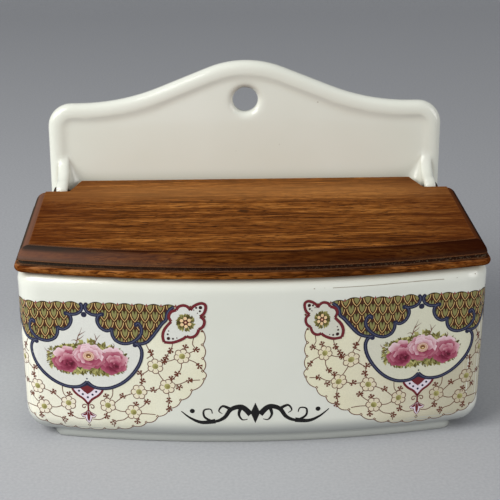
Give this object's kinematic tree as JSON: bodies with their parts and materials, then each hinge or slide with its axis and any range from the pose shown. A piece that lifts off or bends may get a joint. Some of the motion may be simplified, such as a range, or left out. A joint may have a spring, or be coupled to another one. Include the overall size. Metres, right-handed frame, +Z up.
{
  "type": "match box with hinged lid",
  "caption": "Bow-front glazed porcelain match box with a tall shaped back plate to hang by, standing on a foot ring, closed by a moulded wooden lid that turns on pins in two ears.",
  "frame": {"origin": "on the standing plane, under the middle of the whole object", "axes": "+X from left to right as seen from the front, +Y from the front to the back plate, +Z up"},
  "size_m": [0.16, 0.095, 0.1147],
  "materials": {
    "porcelain": "gloss",
    "lid_wood": "satin",
    "pin_steel": "dull"
  },
  "bodies": {
    "box": {"porcelain_body": "porcelain"},
    "lid": {"wooden_lid": "lid_wood", "hinge_pin_left": "pin_steel", "hinge_pin_right": "pin_steel"}
  },
  "joints": [
    {"name": "lid_hinge", "type": "hinge", "parent": "box", "child": "lid", "pos_m": [0, 0.0328, 0.0672], "axis": [-1, 0, 0], "range_deg": [0, 97.5]}
  ]
}
